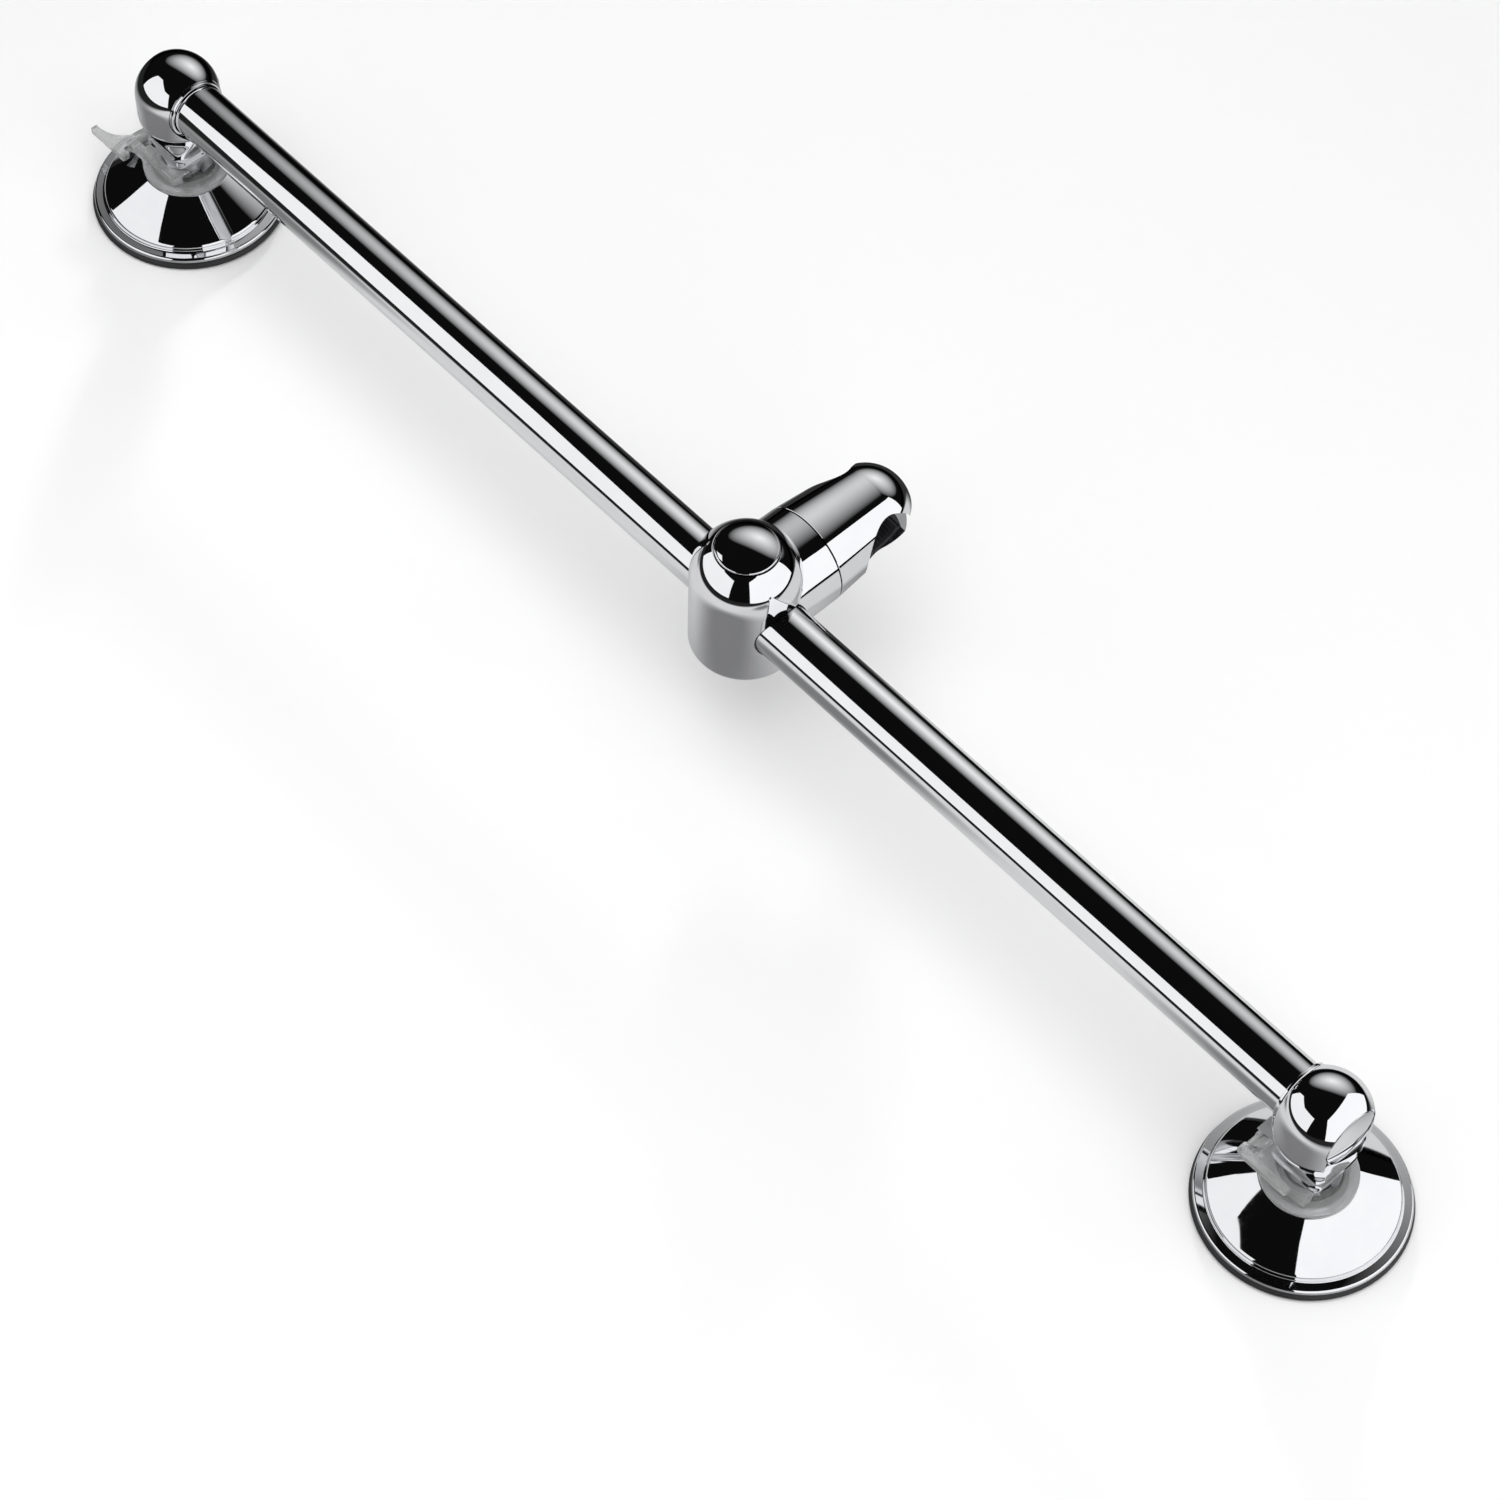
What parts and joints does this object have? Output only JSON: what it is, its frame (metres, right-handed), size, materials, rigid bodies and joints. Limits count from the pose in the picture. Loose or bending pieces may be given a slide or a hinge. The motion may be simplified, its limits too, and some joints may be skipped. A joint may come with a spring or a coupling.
{
  "type": "suction grab bar",
  "caption": "Chrome grab rail on suction feet with clear flip levers, carrying a sliding, turning hand-shower holder.",
  "frame": {"origin": "middle of the object's box at the plane of the suction rings, which is the wall's surface", "axes": "+X along the rail towards the foot with the closed lever, +Y along the holder's arm, +Z away from the wall"},
  "size_m": [0.6918, 0.115, 0.095],
  "materials": {
    "chrome_tube": "polished chrome plate, drawn tube",
    "chrome_post": "polished chrome plate, moulded post",
    "chrome_base": "polished chrome plate, pressed shell",
    "chrome_slider": "polished chrome plate, moulded slider",
    "black_rubber": "matt black rubber",
    "clear_plastic": "clear, polished",
    "steel_hardware": "plain turned steel",
    "black_plastic": "satin black moulded plastic",
    "bearing_plastic": "natural acetal"
  },
  "bodies": {
    "rail": {"rail_tube": "chrome_tube", "post_far": "chrome_post", "post_near": "chrome_post", "post_plug_far": "chrome_post", "post_plug_near": "chrome_post", "tube_collar_far": "chrome_post", "tube_collar_near": "chrome_post", "grub_screw_far": "steel_hardware", "grub_screw_near": "steel_hardware", "neck_clip_far": "steel_hardware", "neck_clip_near": "steel_hardware"},
    "foot_far": {"base_shell_far": "chrome_base", "suction_cup_far": "black_rubber", "latch_base_far": "clear_plastic", "latch_cover_far": "clear_plastic", "latch_nut_far": "steel_hardware", "lever_pin_far": "steel_hardware", "cup_spring_far": "steel_hardware"},
    "foot_near": {"base_shell_near": "chrome_base", "suction_cup_near": "black_rubber", "latch_base_near": "clear_plastic", "latch_cover_near": "clear_plastic", "latch_nut_near": "steel_hardware", "lever_pin_near": "steel_hardware", "cup_spring_near": "steel_hardware"},
    "pull_far": {"pull_stem_far": "steel_hardware", "lift_arm_far": "steel_hardware", "stem_nut_far": "steel_hardware"},
    "pull_near": {"pull_stem_near": "steel_hardware", "lift_arm_near": "steel_hardware", "stem_nut_near": "steel_hardware"},
    "lever_far": {"lever_far": "clear_plastic"},
    "lever_near": {"lever_near": "clear_plastic"},
    "carriage": {"slider_bush_left": "bearing_plastic", "slider_bush_right": "bearing_plastic"},
    "slider": {"slider_body": "chrome_slider", "slider_bottom_cap": "chrome_slider", "friction_ring": "bearing_plastic", "pivot_screw": "steel_hardware", "button_spring": "steel_hardware"},
    "button": {"slider_button": "chrome_slider", "grip_loop": "black_plastic", "grip_pad": "black_rubber"},
    "holder": {"holder": "chrome_slider", "holder_liner": "black_plastic"}
  },
  "joints": [
    {"name": "foot_far_swivel", "type": "hinge", "parent": "rail", "child": "foot_far", "pos_m": [-0.3044, -0.01825, 0], "axis": [0, 0, 1], "continuous": true},
    {"name": "foot_near_swivel", "type": "hinge", "parent": "rail", "child": "foot_near", "pos_m": [0.3066, -0.01825, 0], "axis": [0, 0, 1], "continuous": true},
    {"name": "lever_far", "type": "hinge", "parent": "foot_far", "child": "lever_far", "pos_m": [-0.3239, -0.01825, 0.022], "axis": [0, 1, 0], "range_deg": [0, 180]},
    {"name": "lever_near", "type": "hinge", "parent": "foot_near", "child": "lever_near", "pos_m": [0.2871, -0.01825, 0.022], "axis": [0, 1, 0], "range_deg": [-180, 0]},
    {"name": "pull_far", "type": "slide", "parent": "foot_far", "child": "pull_far", "axis": [0, 0, 1], "range_m": [0, 0.0016], "deforming": ["suction_cup_far", "cup_spring_far"]},
    {"name": "pull_near", "type": "slide", "parent": "foot_near", "child": "pull_near", "axis": [0, 0, 1], "range_m": [-0.0016, 0], "deforming": ["suction_cup_near", "cup_spring_near"]},
    {"name": "slider_slide", "type": "slide", "parent": "rail", "child": "carriage", "axis": [1, 0, 0], "range_m": [-0.285, 0.243]},
    {"name": "slider_turn", "type": "hinge", "parent": "carriage", "child": "slider", "pos_m": [0.0221, -0.01825, 0.0609], "axis": [1, 0, 0], "range_deg": [-20, 200]},
    {"name": "button_press", "type": "slide", "parent": "slider", "child": "button", "axis": [0, 0, -1], "range_m": [0, 0.0025], "stiffness_N_per_m": 3000, "springref_m": -0.0015, "deforming": ["button_spring"]},
    {"name": "holder_turn", "type": "hinge", "parent": "slider", "child": "holder", "pos_m": [0.0221, -0.01825, 0.0609], "axis": [0, 1, 0], "continuous": true}
  ],
  "couplings": [
    {"joint": "lever_far", "follows": "pull_far", "rad_per_m": 1963.4},
    {"joint": "lever_near", "follows": "pull_near", "rad_per_m": 1963.4}
  ]
}
